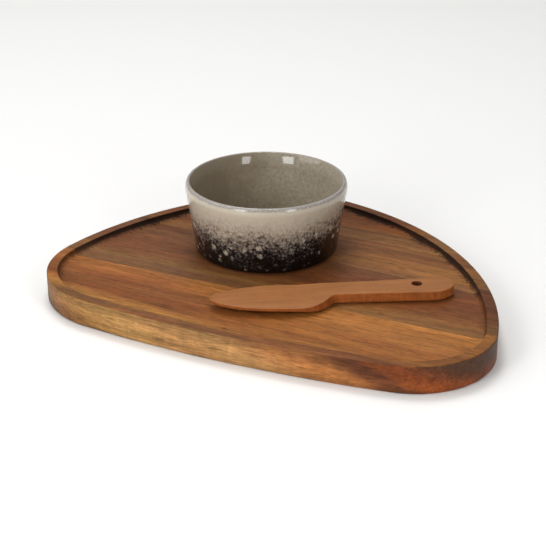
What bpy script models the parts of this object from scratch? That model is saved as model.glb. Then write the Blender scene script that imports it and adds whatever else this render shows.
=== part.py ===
"""A chip and dip server: a rounded three-cornered tray glued up from acacia staves, a stoneware
dip bowl and a wooden spreader.

The tray stands on z = 0 with the grain along X, its long front side towards -Y and its back corner
towards +Y. The origin is the middle of the tray's box, on the surface that it stands on.
"""

from math import atan2, cos, hypot, pi, radians, sin, sqrt, tan, tau

import bmesh
import bpy
import numpy as np
from mathutils import Matrix, Vector
from mathutils.geometry import interpolate_bezier

# Tray: overall sizes.
TRAY_LENGTH = 0.336
TRAY_DEPTH = 0.254
TRAY_THICKNESS = 0.021

# Tray: its outline is three corner arcs joined by three bulging sides, all arcs of a circle.
LEFT_CORNER_RADIUS = 0.0665
RIGHT_CORNER_RADIUS = 0.0585
BACK_CORNER_RADIUS = 0.050
BACK_CORNER_X = -0.046
FRONT_SIDE_RADIUS = 0.850
FRONT_CREST_X = -0.013
RIGHT_SIDE_RADIUS = 0.230
LEFT_SIDE_RADIUS = 0.260

# Tray: the pocket that is milled into its top, and its edges.
RIM_WIDTH = 0.0080
POCKET_DEPTH = 0.0048
COVE_RADIUS = 0.0042
RIM_INNER_EASE = 0.0003
TOP_EASE = 0.0012
BOTTOM_EASE = 0.0025

# Tray: the glue lines between the staves, from the front, and the gap left at each.
GLUE_LINES_Y = (-0.0502, 0.0134, 0.0790)
GLUE_GAP = 0.0003
STAVE_NAMES = ("front_stave", "middle_stave", "rear_stave", "back_corner_stave")

# Dip bowl: a turned cup with straight, leaning sides, a rolled lip and a low foot ring.
BOWL_X = -0.0383
BOWL_Y = 0.0261
BOWL_DIAMETER = 0.120
BOWL_HEIGHT = 0.054
BOWL_SIDE_LEAN = radians(7.9)
BOWL_WALL = 0.0040
BOWL_FLOOR = 0.0050
BOWL_LIP_RADIUS = 0.0020
BOWL_BASE_EDGE_RADIUS = 0.0022
BOWL_INNER_CORNER_RADIUS = 0.0090
FOOT_RING_INSET = 0.0052
FOOT_RING_WIDTH = 0.0045
FOOT_RING_HEIGHT = 0.0012

# Spreader: its X runs along the handle from the neck to the end, and -X along the blade. The
# neck's place is measured from the right end and the front edge of the tray's box.
NECK_FROM_RIGHT = 0.1227
NECK_FROM_FRONT = 0.0924
SPREADER_TURN = radians(30.75)
SPREADER_THICKNESS = 0.0080
HANDLE_LENGTH = 0.083
HANDLE_END_WIDTH = 0.0232
HANDLE_BACK_ROUNDING = 0.011
HANDLE_FRONT_ROUNDING = 0.017
HANDLE_EASE = 0.0010
NECK_WIDTH = 0.0194
SHOULDER_X = -0.0158
SHOULDER_HEADING = radians(45)
BLADE_LENGTH = 0.091
BLADE_WIDEST_X = -0.038
BLADE_BACK_RISE = 0.0109
BLADE_BELLY_DROP = 0.0282
BLADE_TIP_Y = -0.0050
BLADE_THICKNESS = 0.0044
BLADE_TIP_THICKNESS = 0.0026
BLADE_EDGE_THICKNESS = 0.0014
BLADE_BEVEL_WIDTH = 0.0110
BLADE_SLOPE_START_X = -0.006
BLADE_SLOPE_LENGTH = 0.026
HANGING_HOLE_DIAMETER = 0.0072
HANGING_HOLE_FROM_END = 0.0260
HANGING_HOLE_Y = 0.0026

REST_GAP = 0.0003  # between a loose piece and the tray floor under it

# How finely round stretches are divided.
CORNER_STEPS = 16
SIDE_STEPS = 14
EASE_STEPS = 3
COVE_STEPS = 5
LIP_STEPS = 9
INNER_CORNER_STEPS = 6
BOWL_STEPS = 72
EDGE_CURVE_STEPS = 40
SPREADER_STATIONS = 44
SPREADER_END_FLAT = 0.0004
HOLE_STEPS = 28

POCKET_FLOOR_Z = TRAY_THICKNESS - POCKET_DEPTH


def clear_scene():
    for obj in list(bpy.data.objects):
        bpy.data.objects.remove(obj, do_unlink=True)


def finish_material(name, color, roughness, coat=0.0):
    """A plain Principled finish."""
    material = bpy.data.materials.new(name)
    material.use_nodes = True
    shader = material.node_tree.nodes["Principled BSDF"]
    shader.inputs["Base Color"].default_value = (*color, 1.0)
    shader.inputs["Roughness"].default_value = roughness
    shader.inputs["Metallic"].default_value = 0.0
    shader.inputs["Coat Weight"].default_value = coat
    return material


def object_of(name, bm, material=None):
    """Turns a bmesh into a linked object with smooth faces and sharp edges kept sharp."""
    bmesh.ops.recalc_face_normals(bm, faces=bm.faces)
    mesh = bpy.data.meshes.new(name)
    bm.to_mesh(mesh)
    bm.free()
    mesh.shade_smooth()
    mesh.set_sharp_from_angle(angle=radians(35))
    if material:
        mesh.materials.append(material)
    obj = bpy.data.objects.new(name, mesh)
    bpy.context.collection.objects.link(obj)
    return obj


def skin_of(rings):
    """A closed bmesh skin over rings of points that each have the same count, with its ends capped."""
    bm = bmesh.new()
    loops = [[bm.verts.new(point) for point in ring] for ring in rings]
    for lower, upper in zip(loops, loops[1:]):
        for i in range(len(lower)):
            j = (i + 1) % len(lower)
            bm.faces.new((lower[i], lower[j], upper[j], upper[i]))
    bm.faces.new(reversed(loops[0]))
    bm.faces.new(loops[-1])
    return bm


def arc(center, radius, start, end, steps):
    """Points (u, v) along an arc, both ends included."""
    return [
        (center[0] + radius * cos(angle), center[1] + radius * sin(angle))
        for angle in np.linspace(start, end, steps + 1)
    ]


def cutter(obj):
    """Keeps an object as a helper for modifiers only."""
    obj.hide_render = True
    obj.display_type = "WIRE"
    return obj


def cut(obj, operation, helper):
    modifier = obj.modifiers.new(operation.title(), "BOOLEAN")
    modifier.operation = operation
    modifier.solver = "EXACT"
    modifier.object = helper


# ---- Tray ----


def tray_corners():
    """Centre and radius of each corner arc, anticlockwise from the right corner.

    The front side's arc has its crest at FRONT_CREST_X on the front edge of the tray's box, and
    the left and right corners are placed so that this arc just touches both of them.
    """
    front_center_y = FRONT_SIDE_RADIUS - TRAY_DEPTH / 2

    def corner_on_front(x, radius):
        reach = FRONT_SIDE_RADIUS - radius
        return front_center_y - sqrt(reach**2 - (x - FRONT_CREST_X) ** 2)

    left_x = LEFT_CORNER_RADIUS - TRAY_LENGTH / 2
    right_x = TRAY_LENGTH / 2 - RIGHT_CORNER_RADIUS
    return (
        (right_x, corner_on_front(right_x, RIGHT_CORNER_RADIUS), RIGHT_CORNER_RADIUS),
        (BACK_CORNER_X, TRAY_DEPTH / 2 - BACK_CORNER_RADIUS, BACK_CORNER_RADIUS),
        (left_x, corner_on_front(left_x, LEFT_CORNER_RADIUS), LEFT_CORNER_RADIUS),
    )


def side_center(first, second, side_radius):
    """Centre of the big arc that touches two corner arcs from outside."""
    reach_first = side_radius - first[2]
    reach_second = side_radius - second[2]
    dx, dy = second[0] - first[0], second[1] - first[1]
    span = hypot(dx, dy)
    along = (reach_first**2 - reach_second**2 + span**2) / (2 * span)
    across = sqrt(reach_first**2 - along**2)
    return (
        first[0] + (dx * along - dy * across) / span,
        first[1] + (dy * along + dx * across) / span,
    )


def tray_outline(inset):
    """The tray's outline moved inwards by inset, anticlockwise, as (x, y) points.

    Each corner arc runs between the directions of its two side arcs' centres, and each side arc
    between its two corners, so an inset only shortens the radii.
    """
    corners = tray_corners()
    radii = (RIGHT_SIDE_RADIUS, LEFT_SIDE_RADIUS, FRONT_SIDE_RADIUS)
    sides = [side_center(corners[i], corners[(i + 1) % 3], radii[i]) for i in range(3)]

    def direction(center, side):
        return atan2(center[1] - side[1], center[0] - side[0])

    points = []
    for i, (x, y, radius) in enumerate(corners):
        start = direction((x, y), sides[i - 1])
        turn = direction((x, y), sides[i])
        turn += tau if turn < start else 0.0
        following = corners[(i + 1) % 3]
        end = direction(following, sides[i])
        end += tau if end < turn else 0.0
        points += arc((x, y), radius - inset, start, turn, CORNER_STEPS)
        points += arc(sides[i], radii[i] - inset, turn, end, SIDE_STEPS)[1:-1]
    return points


def tray_profile():
    """(inset, z) of the milled tray, from the edge of its underside round to the pocket floor."""
    bottom = arc((BOTTOM_EASE, BOTTOM_EASE), BOTTOM_EASE, 1.5 * pi, pi, EASE_STEPS)
    top = arc((TOP_EASE, TRAY_THICKNESS - TOP_EASE), TOP_EASE, pi, 0.5 * pi, EASE_STEPS)
    cove_radius = min(COVE_RADIUS, POCKET_DEPTH - RIM_INNER_EASE)
    cove_center = (RIM_WIDTH + cove_radius, POCKET_FLOOR_Z + cove_radius)
    cove = arc(cove_center, cove_radius, pi, 1.5 * pi, COVE_STEPS)
    inner_edge = [(RIM_WIDTH - RIM_INNER_EASE, TRAY_THICKNESS)]
    return bottom + top + inner_edge + cove


def make_board_blank():
    """The whole milled board, which each stave takes its share of."""
    rings = [
        [(x, y, z) for x, y in tray_outline(inset)] for inset, z in tray_profile()
    ]
    return cutter(object_of("board_blank", skin_of(rings)))


def make_staves(material):
    blank = make_board_blank()
    margin = TRAY_THICKNESS
    edges = (-TRAY_DEPTH / 2 - margin, *GLUE_LINES_Y, TRAY_DEPTH / 2 + margin)
    for name, low, high in zip(STAVE_NAMES, edges, edges[1:]):
        bm = bmesh.new()
        bmesh.ops.create_cube(bm, size=1.0)
        size = (TRAY_LENGTH + margin, high - low - GLUE_GAP, TRAY_THICKNESS + 2 * margin)
        middle = Vector((0.0, (low + high) / 2, TRAY_THICKNESS / 2))
        bmesh.ops.scale(bm, verts=bm.verts, vec=size)
        bmesh.ops.translate(bm, verts=bm.verts, vec=middle)
        cut(object_of(name, bm, material), "INTERSECT", blank)


# ---- Dip bowl ----


def bowl_profile():
    """(radius, height) from under the bowl, out over its foot ring, up its outside, over the lip
    and down its inside to the floor.
    """
    lean = BOWL_SIDE_LEAN
    lip = (BOWL_DIAMETER / 2 - BOWL_LIP_RADIUS, BOWL_HEIGHT - BOWL_LIP_RADIUS)
    edge_z = FOOT_RING_HEIGHT + BOWL_BASE_EDGE_RADIUS
    radius_change = BOWL_LIP_RADIUS - BOWL_BASE_EDGE_RADIUS
    edge_x = lip[0] - (lip[1] - edge_z) * tan(lean) + radius_change / cos(lean)
    ring_outer = edge_x + BOWL_BASE_EDGE_RADIUS - FOOT_RING_INSET
    ring_inner = ring_outer - FOOT_RING_WIDTH
    foot = [
        (ring_inner, FOOT_RING_HEIGHT),
        (ring_inner, 0.0),
        (ring_outer, 0.0),
        (ring_outer, FOOT_RING_HEIGHT),
    ]
    base_edge = arc((edge_x, edge_z), BOWL_BASE_EDGE_RADIUS, -pi / 2, -lean, EASE_STEPS)
    rolled_lip = arc(lip, BOWL_LIP_RADIUS, -lean, pi - lean, LIP_STEPS)
    # The inner corner touches the floor and the inner wall, which runs parallel to the outer one.
    corner_z = BOWL_FLOOR + BOWL_INNER_CORNER_RADIUS
    wall_to_corner = BOWL_WALL - BOWL_LIP_RADIUS + BOWL_INNER_CORNER_RADIUS
    corner_x = lip[0] - (lip[1] - corner_z) * tan(lean) - wall_to_corner / cos(lean)
    inner_corner = arc(
        (corner_x, corner_z), BOWL_INNER_CORNER_RADIUS, -lean, -pi / 2, INNER_CORNER_STEPS
    )
    return foot + base_edge + rolled_lip + inner_corner


def make_bowl(material):
    """The profile turned about the bowl's axis."""
    rings = []
    for radius, height in bowl_profile():
        angles = [tau * step / BOWL_STEPS for step in range(BOWL_STEPS)]
        rings.append([(radius * cos(a), radius * sin(a), height) for a in angles])
    bowl = object_of("dip_bowl", skin_of(rings), material)
    bowl.location = (BOWL_X, BOWL_Y, POCKET_FLOOR_Z + REST_GAP)


# ---- Spreader ----


def smooth_edge(knots):
    """Points along cubic curves through knots of (point, heading).

    Each curve's handles reach half of the way that it covers along its heading, so a quarter turn
    between two knots is a little flatter than an ellipse.
    """
    points = []
    for (start, leaving), (end, arriving) in zip(knots, knots[1:]):
        start, end = Vector(start), Vector(end)
        leave = Vector((cos(leaving), sin(leaving)))
        arrive = Vector((cos(arriving), sin(arriving)))
        way = end - start
        first = start + leave * abs(way.dot(leave)) / 2
        second = end - arrive * abs(way.dot(arrive)) / 2
        points += interpolate_bezier(start, first, second, end, EDGE_CURVE_STEPS)
    return np.array(points)


def spreader_edges():
    """The back edge and the front edge, each from the tip of the blade to the end of the handle."""
    tip = (-BLADE_LENGTH, BLADE_TIP_Y)
    end = (HANDLE_LENGTH, 0.0)
    neck_y, end_y = NECK_WIDTH / 2, HANDLE_END_WIDTH / 2
    flare = atan2(end_y - neck_y, HANDLE_LENGTH)
    shoulder = (SHOULDER_X, -(BLADE_BELLY_DROP + neck_y) / 2)
    back = (
        (tip, pi / 2),
        ((BLADE_WIDEST_X, BLADE_BACK_RISE), 0.0),
        ((0.0, neck_y), 0.0),
        ((HANDLE_LENGTH - HANDLE_BACK_ROUNDING, end_y), flare),
        (end, -pi / 2),
    )
    front = (
        (tip, -pi / 2),
        ((BLADE_WIDEST_X, -BLADE_BELLY_DROP), 0.0),
        (shoulder, SHOULDER_HEADING),
        ((0.0, -neck_y), 0.0),
        ((HANDLE_LENGTH - HANDLE_FRONT_ROUNDING, -end_y), -flare),
        (end, pi / 2),
    )
    return smooth_edge(back), smooth_edge(front)


def smooth_share(value):
    """0 below 0, 1 above 1 and a smooth slope between."""
    share = min(max(value, 0.0), 1.0)
    return share * share * (3 - 2 * share)


def section(x, back_y, front_y):
    """One closed section across the spreader at x.

    On the handle it is a slab with eased edges. On the blade it thins, more so towards the tip,
    and a wide bevel brings both of its sides down to a narrow edge.
    """
    blade = smooth_share((BLADE_SLOPE_START_X - x) / BLADE_SLOPE_LENGTH)
    to_tip = smooth_share((BLADE_WIDEST_X - x) / (BLADE_LENGTH + BLADE_WIDEST_X))

    def blend(on_handle, on_blade):
        return on_handle + (on_blade - on_handle) * blade

    blade_thickness = BLADE_THICKNESS + (BLADE_TIP_THICKNESS - BLADE_THICKNESS) * to_tip
    thickness = blend(SPREADER_THICKNESS, blade_thickness)
    edge = blend(SPREADER_THICKNESS - 2 * HANDLE_EASE, BLADE_EDGE_THICKNESS)
    ease = min(blend(HANDLE_EASE, BLADE_BEVEL_WIDTH), 0.45 * (back_y - front_y))
    turns = [pi / 2 * step / EASE_STEPS for step in range(EASE_STEPS + 1)]
    crown = [(ease * (1 - cos(turn)), edge / 2 + (thickness - edge) / 2 * sin(turn)) for turn in turns]
    upper = [(back_y - inset, height) for inset, height in crown]
    upper += [(front_y + inset, height) for inset, height in reversed(crown)]
    lower = [(y, -height) for y, height in reversed(upper)]
    return [(x, y, SPREADER_THICKNESS / 2 + height) for y, height in upper + lower]


def make_spreader(material):
    """Sections set close together towards both rounded ends, and a drilled hanging hole."""
    back, front = spreader_edges()
    low, high = SPREADER_END_FLAT - BLADE_LENGTH, HANDLE_LENGTH - SPREADER_END_FLAT
    turns = np.linspace(0.0, pi, SPREADER_STATIONS)
    rings = [
        section(x, np.interp(x, *back.T), np.interp(x, *front.T))
        for x in low + (high - low) * (1 - np.cos(turns)) / 2
    ]
    spreader = object_of("spreader", skin_of(rings), material)
    hole_x = HANDLE_LENGTH - HANGING_HOLE_FROM_END
    bm = bmesh.new()
    bmesh.ops.create_cone(
        bm,
        cap_ends=True,
        segments=HOLE_STEPS,
        radius1=HANGING_HOLE_DIAMETER / 2,
        radius2=HANGING_HOLE_DIAMETER / 2,
        depth=3 * SPREADER_THICKNESS,
        matrix=Matrix.Translation((hole_x, HANGING_HOLE_Y, SPREADER_THICKNESS / 2)),
    )
    drill = cutter(object_of("hanging_hole_drill", bm))
    cut(spreader, "DIFFERENCE", drill)
    neck_x, neck_y = TRAY_LENGTH / 2 - NECK_FROM_RIGHT, NECK_FROM_FRONT - TRAY_DEPTH / 2
    for obj in (spreader, drill):
        obj.location = (neck_x, neck_y, POCKET_FLOOR_Z + REST_GAP)
        obj.rotation_euler = (0.0, 0.0, SPREADER_TURN)


def main():
    clear_scene()
    make_staves(finish_material("oiled_acacia", (0.25, 0.10, 0.04), 0.45))
    make_bowl(finish_material("reactive_glaze", (0.30, 0.27, 0.22), 0.18, coat=0.5))
    make_spreader(finish_material("oiled_cherry", (0.42, 0.17, 0.07), 0.5))


main()
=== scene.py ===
"""The finished surfaces of a chip and dip server: a tray glued up from four oiled acacia staves, a
stoneware dip bowl under a reactive glaze and an oiled wooden spreader, on a plain pale floor.

The file is laid out as an add-on and is run as a script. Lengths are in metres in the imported
model's frame: the tray stands on z = 0, its grain runs along X and its long front faces -Y.
"""

from collections import namedtuple
from functools import partial
from math import atan, atan2, cos, hypot, pi, radians, sin, sqrt, tan, tau

import bmesh
import bpy
import numpy as np
from bpy.props import FloatProperty, FloatVectorProperty, PointerProperty
from bpy.types import Operator, Panel, PropertyGroup
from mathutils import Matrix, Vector


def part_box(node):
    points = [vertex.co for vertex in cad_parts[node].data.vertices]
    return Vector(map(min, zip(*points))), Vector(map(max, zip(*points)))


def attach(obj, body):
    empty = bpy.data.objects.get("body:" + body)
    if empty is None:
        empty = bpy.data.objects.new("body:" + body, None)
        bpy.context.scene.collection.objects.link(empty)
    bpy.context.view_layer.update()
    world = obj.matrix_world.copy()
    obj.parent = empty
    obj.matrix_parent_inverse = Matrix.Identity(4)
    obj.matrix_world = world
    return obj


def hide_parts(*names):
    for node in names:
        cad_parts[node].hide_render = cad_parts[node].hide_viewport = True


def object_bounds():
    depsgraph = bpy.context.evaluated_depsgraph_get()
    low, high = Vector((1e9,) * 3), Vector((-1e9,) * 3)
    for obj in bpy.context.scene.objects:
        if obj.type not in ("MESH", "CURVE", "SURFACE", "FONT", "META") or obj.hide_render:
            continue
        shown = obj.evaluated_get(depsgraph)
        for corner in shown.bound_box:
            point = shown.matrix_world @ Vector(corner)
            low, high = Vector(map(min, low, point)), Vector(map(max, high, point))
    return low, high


bl_info = {
    "name": "Chip and Dip Server",
    "version": (1, 0, 0),
    "blender": (4, 5, 0),
    "location": "3D Viewport > Sidebar > Server",
    "description": "Builds an acacia tray, a glazed dip bowl and a spreader around their solids",
    "category": "Add Mesh",
}

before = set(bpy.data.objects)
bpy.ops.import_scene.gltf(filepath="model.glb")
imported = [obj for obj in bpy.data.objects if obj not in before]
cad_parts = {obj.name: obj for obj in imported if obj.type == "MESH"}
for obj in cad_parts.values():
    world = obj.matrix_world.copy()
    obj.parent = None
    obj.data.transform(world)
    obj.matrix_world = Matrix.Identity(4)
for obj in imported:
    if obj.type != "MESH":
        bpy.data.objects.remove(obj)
CAD_BOX = [list(corner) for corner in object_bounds()]
FRONT_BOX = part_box("front_stave")
MIDDLE_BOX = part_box("middle_stave")
REAR_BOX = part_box("rear_stave")
BACK_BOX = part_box("back_corner_stave")
BOWL_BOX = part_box("dip_bowl")
STAVE_BOXES = (FRONT_BOX, MIDDLE_BOX, REAR_BOX, BACK_BOX)

MM = 0.001
POCKET_FLOOR = BOWL_BOX[0].z - 0.3 * MM  # the loose pieces' solids stand this far above it
CONTACT_GAP = 0.05 * MM
WELD = 0.001 * MM
POLE = WELD / 10  # radius of a row of points that closes to one


def linear(hex_color):
    """The linear RGBA of an sRGB hex colour such as #A06842."""
    shares = [int(hex_color[i : i + 2], 16) / 255 for i in (1, 3, 5)]
    return (*[s / 12.92 if s <= 0.04045 else ((s + 0.055) / 1.055) ** 2.4 for s in shares], 1.0)


# ---- Sizes and colours that a user would change ----


def length(name, description, mm):
    return FloatProperty(name=name, description=description, default=mm * MM, min=0.0, subtype="DISTANCE")


def place(name, description, mm):
    return FloatProperty(name=name, description=description, default=mm * MM, unit="LENGTH")


def angle(name, description, degrees):
    return FloatProperty(name=name, description=description, default=radians(degrees), subtype="ANGLE")


def power(name, description, watts):
    return FloatProperty(name=name, description=description, default=watts, min=0.0, unit="POWER")


def color(name, description, hex_color):
    return FloatVectorProperty(
        name=name, description=description, size=4, min=0.0, max=1.0, subtype="COLOR",
        default=linear(hex_color),
    )


class TrayProperties(PropertyGroup):
    left_corner: length("Left corner", "Radius of the outline's left corner", 66.5)
    right_corner: length("Right corner", "Radius of the outline's right corner", 58.5)
    back_corner: length("Back corner", "Radius of the outline's back corner", 50)
    back_corner_x: place("Back corner X", "Where the back corner's centre lies", -46)
    front_side: length("Front side", "Radius of the front side's long arc", 850)
    front_crest_x: place("Front crest X", "Where the front side bulges furthest", -13)
    right_side: length("Right side", "Radius of the right side's arc", 230)
    left_side: length("Left side", "Radius of the left side's arc", 260)
    rim_width: length("Rim", "Width of the flat rim round the pocket", 8)
    cove: length("Cove", "Radius of the cove at the foot of the pocket's wall", 4.2)
    inner_ease: length("Inner ease", "Rounding of the rim's inner edge", 0.6)
    top_ease: length("Top ease", "Rounding of the top outer edge", 1.2)
    bottom_ease: length("Bottom ease", "Rounding of the bottom outer edge", 2.5)
    glue_line: length("Glue line", "Width of the joint between two staves", 0.06)
    # Painted in the cove both as the router's charring and as shade.
    scorch_and_shade: color("Scorch", "Wood burnt dark by the router in the cove", "#1F130C")
    pore: color("Pores", "The open pores that show as dark dashes", "#3A2014")


class BowlProperties(PropertyGroup):
    lip_outer: length("Lip, outside", "How far the lip rounds over outwards", 2.4)
    lip_outer_height: length("Lip, outside height", "Height of that rounding", 5)
    lip_inner: length("Lip, inside", "How far the lip rounds over inwards", 1.6)
    lip_inner_height: length("Lip, inside height", "Height of that rounding", 2.5)
    side_lean: angle("Lean", "Lean of the straight side from upright", 7.9)
    flare_height: length("Flare", "Height over which the inside eases into the lip", 10)
    flare: length("Flare depth", "How much the wall thickens over that height", 2.3)
    floor: length("Floor", "Thickness of the floor", 5)
    inner_corner: length("Inner corner", "Radius between the inner wall and the floor", 9)
    base_edge: length("Base edge", "Rounding of the lower outer edge", 2.2)
    base_radius: length("Base radius", "Radius of the side where it meets its base", 53.5)
    foot_inset: length("Foot inset", "How far the foot ring is set in", 5.2)
    foot_width: length("Foot width", "Width of the foot ring", 4.5)
    foot_height: length("Foot height", "Height of the foot ring", 1.2)
    clay: color("Clay", "The bare stoneware of the foot ring", "#8C7460")


class SpreaderProperties(PropertyGroup):
    neck_x: place("Neck X", "Where the neck lies", 45.3)
    neck_y: place("Neck Y", "Where the neck lies", -34.6)
    turn: angle("Turn", "Direction of the handle in the tray", 30.75)
    thickness: length("Thickness", "Thickness of the handle", 8)
    handle_length: length("Handle", "Length from the neck to the end of the handle", 83)
    handle_end: length("Handle end", "Width of the handle at its end", 23.2)
    back_rounding: length("Back rounding", "Length of the handle's back corner", 11)
    front_rounding: length("Front rounding", "Length of the handle's front corner", 17)
    handle_ease: length("Handle ease", "Rounding of the handle's upper edges", 0.8)
    under_ease: length("Under ease", "Rounding of the handle's lower edges", 2.3)
    neck_width: length("Neck", "Width of the neck", 19.4)
    blade_length: length("Blade", "Length from the neck to the tip", 89)
    blade_widest: length("Blade's widest place", "How far it lies from the neck", 38)
    back_rise: length("Back rise", "How far the blade's back bows out", 10.6)
    belly_drop: length("Belly drop", "How far the blade's edge bows out", 26.2)
    tip_y: place("Tip", "Where the tip lies across the spreader", -5)
    shoulder_x: place("Shoulder", "Where the front edge steps out to the blade", -9.8)
    blade_thickness: length("Blade thickness", "Thickness along the blade's middle", 4.4)
    tip_thickness: length("Tip thickness", "Thickness at the tip", 2.6)
    edge_thickness: length("Edge thickness", "Thickness of the spreading edge", 1.8)
    bevel_width: length("Bevel", "Width over which the blade thins to its spreading edge", 11)
    back_thickness: length("Back thickness", "Thickness of the blade's back edge", 3.0)
    back_ease: length("Back ease", "Rounding of the blade's back edge", 1.6)
    blade_lift: length("Blade lift", "How far the blade lies above the handle's middle", 1.7)
    hole: length("Hole", "Diameter of the hanging hole", 7.2)
    hole_from_end: length("Hole from end", "From the end of the handle to the hole's centre", 26)
    hole_y: place("Hole Y", "Where the hole lies across the handle", 2.6)
    top_wood: color("Face wood", "The face of the spreader", "#986237")
    side_wood: color("Edge wood", "The redder wood of its edges", "#9F5A2A")


class StageProperties(PropertyGroup):
    lens: FloatProperty(name="Lens", description="Focal length", default=98.9, subtype="DISTANCE_CAMERA")
    pitch: angle("Pitch", "How far the camera looks down", 25.06)
    heading: angle("Heading", "How far the camera stands round from the front", 25.5)
    left_power: power("Left softbox", "Of the front left softbox", 5.4)
    right_power: power("Right softbox", "Of the front right softbox", 3.6)
    key_power: power("Key light", "Of the big light at the left", 12.5)
    overhead_power: power("Overhead", "Of the softbox above", 11.0)
    ceiling_power: power("Ceiling", "Of the ceiling light", 54.0)
    fill: FloatProperty(name="Fill", description="Brightness of the room around", default=0.25, min=0.0)
    floor: color("Floor", "The floor under the object", "#F6F5F3")


# ---- Meshes from grids of points ----


def finished_piece(name, grids, materials, values=None, sharp_angle=35):
    """One closed, welded mesh from grids of points.

    Each grid is a (rows, columns, 3) array and becomes rows-1 by columns-1 four-sided faces. Where
    grids meet, or a row closes to a pole, the points are welded, and each flat opening that is
    left is capped. values maps an attribute's name to one array per grid.
    """
    points, faces, start = [], [], 0
    for grid in grids:
        rows, columns = grid.shape[:2]
        index = start + np.arange(rows * columns).reshape(rows, columns)
        corners = (index[:-1, :-1], index[1:, :-1], index[1:, 1:], index[:-1, 1:])
        faces.append(np.stack(corners, axis=-1).reshape(-1, 4))
        points.append(grid.reshape(-1, 3))
        start += rows * columns
    mesh = bpy.data.meshes.new(name)
    mesh.from_pydata(np.concatenate(points), [], np.concatenate(faces))
    for title, arrays in (values or {}).items():
        attribute = mesh.attributes.new(title, "FLOAT", "POINT")
        attribute.data.foreach_set("value", np.concatenate([a.ravel() for a in arrays]))
    bm = bmesh.new()
    bm.from_mesh(mesh)
    bmesh.ops.remove_doubles(bm, verts=bm.verts, dist=WELD)
    bmesh.ops.dissolve_degenerate(bm, edges=bm.edges, dist=WELD / 10)
    openings = [edge for edge in bm.edges if edge.is_boundary]
    if openings:
        bmesh.ops.holes_fill(bm, edges=openings, sides=0)
    bmesh.ops.recalc_face_normals(bm, faces=bm.faces)
    if any(not edge.is_manifold for edge in bm.edges):
        raise RuntimeError(f"{name} isn't closed")
    bm.to_mesh(mesh)
    bm.free()
    mesh.shade_smooth()
    mesh.set_sharp_from_angle(angle=radians(sharp_angle))
    for material in materials:
        mesh.materials.append(material)
    piece = bpy.data.objects.new(name, mesh)
    bpy.context.scene.collection.objects.link(piece)
    return piece


def ellipse(center, reach, start, end, steps):
    """(u, v) = center + (reach u * cos t, reach v * sin t), with t from start to end."""
    turn = np.linspace(start, end, steps + 1)
    return np.stack([center[0] + reach[0] * np.cos(turn), center[1] + reach[1] * np.sin(turn)], -1)


def straight(start, end, steps):
    """(u, v) evenly along a line, both ends included."""
    return np.linspace(start, end, steps + 1)


def smooth_share(value):
    """3 s^2 - 2 s^3, with s the value held between 0 and 1."""
    share = np.clip(value, 0.0, 1.0)
    return share * share * (3 - 2 * share)


# ---- Tray ----

TABLE_STEPS = 8000
STAVE_STEPS = 110
RULED_STEPS = 10
RAIL_INSET = 36 * MM  # the moulded surface runs this far in, and flat faces fill the rest


def board_arcs(tray):
    """Centres, radii and first headings of the outline's six arcs, anticlockwise from the right corner.

    A heading is the direction of the outline's outward normal. Three corner arcs are joined by
    three big arcs that touch them from outside, so the heading grows steadily all the way round.
    """
    low, high = Vector(CAD_BOX[0]), Vector(CAD_BOX[1])
    center_y = low.y + tray.front_side

    def corner_on_front(x, radius):
        reach = tray.front_side - radius
        return center_y - sqrt(reach**2 - (x - tray.front_crest_x) ** 2)

    right_x, left_x = high.x - tray.right_corner, low.x + tray.left_corner
    corners = (
        (right_x, corner_on_front(right_x, tray.right_corner), tray.right_corner),
        (tray.back_corner_x, high.y - tray.back_corner, tray.back_corner),
        (left_x, corner_on_front(left_x, tray.left_corner), tray.left_corner),
    )
    radii = (tray.right_side, tray.left_side, tray.front_side)
    sides = []
    for i, radius in enumerate(radii):
        first, second = corners[i], corners[(i + 1) % 3]
        dx, dy = second[0] - first[0], second[1] - first[1]
        span = hypot(dx, dy)
        along = ((radius - first[2]) ** 2 - (radius - second[2]) ** 2 + span**2) / (2 * span)
        across = sqrt((radius - first[2]) ** 2 - along**2)
        sides.append(
            (
                first[0] + (dx * along - dy * across) / span,
                first[1] + (dy * along + dx * across) / span, radius,
            ),
        )
    arcs, headings = [], []
    for i, corner in enumerate(corners):
        arcs += [corner, sides[i]]
        before, after = sides[i - 1], sides[i]
        following = corners[(i + 1) % 3]
        headings.append(atan2(corner[1] - before[1], corner[0] - before[0]))
        headings.append(atan2(corner[1] - after[1], corner[0] - after[0]))
        if following is corners[0]:
            headings.append(atan2(following[1] - after[1], following[0] - after[0]))
    return np.array(arcs), np.unwrap(headings)


def outline_at(arcs, headings, heading, inset):
    """Point = centre of the heading's arc + (its radius - inset) * (cos heading, sin heading)."""
    turn = headings[0] + np.mod(heading - headings[0], tau)
    arc = arcs[np.clip(np.searchsorted(headings, turn, side="right") - 1, 0, len(arcs) - 1)]
    reach = arc[..., 2] - inset
    return arc[..., 0] + reach * np.cos(heading), arc[..., 1] + reach * np.sin(heading)


def board_edge(arcs, headings, profile, low, high, side):
    """The board's edge from y = low to y = high, as a grid: profile points by steps along the edge.

    side is 1 for the right half and -1 for the left one. On each row the outline is moved in by
    that row's inset and the steps are even along it, so the ends lie on the glue planes.
    """
    table = np.linspace(-pi / 2, pi / 2, TABLE_STEPS)
    facing = table if side > 0 else pi - table
    xs, ys = outline_at(arcs, headings, facing, 0.0)
    way = np.concatenate([[0.0], np.cumsum(np.hypot(np.diff(xs), np.diff(ys)))])
    rows = []
    for inset, z in profile:
        level = outline_at(arcs, headings, facing, inset)[1]
        ends = np.interp((low, high), level, way)
        steps = np.interp(np.linspace(*ends, STAVE_STEPS), way, facing)
        x, y = outline_at(arcs, headings, steps, inset)
        y[0] = low if low > level[0] else y[0]
        y[-1] = high if high < level[-1] else y[-1]
        rows.append(np.stack([x, y, np.full_like(x, z)], -1))
    return np.array(rows)


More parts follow.
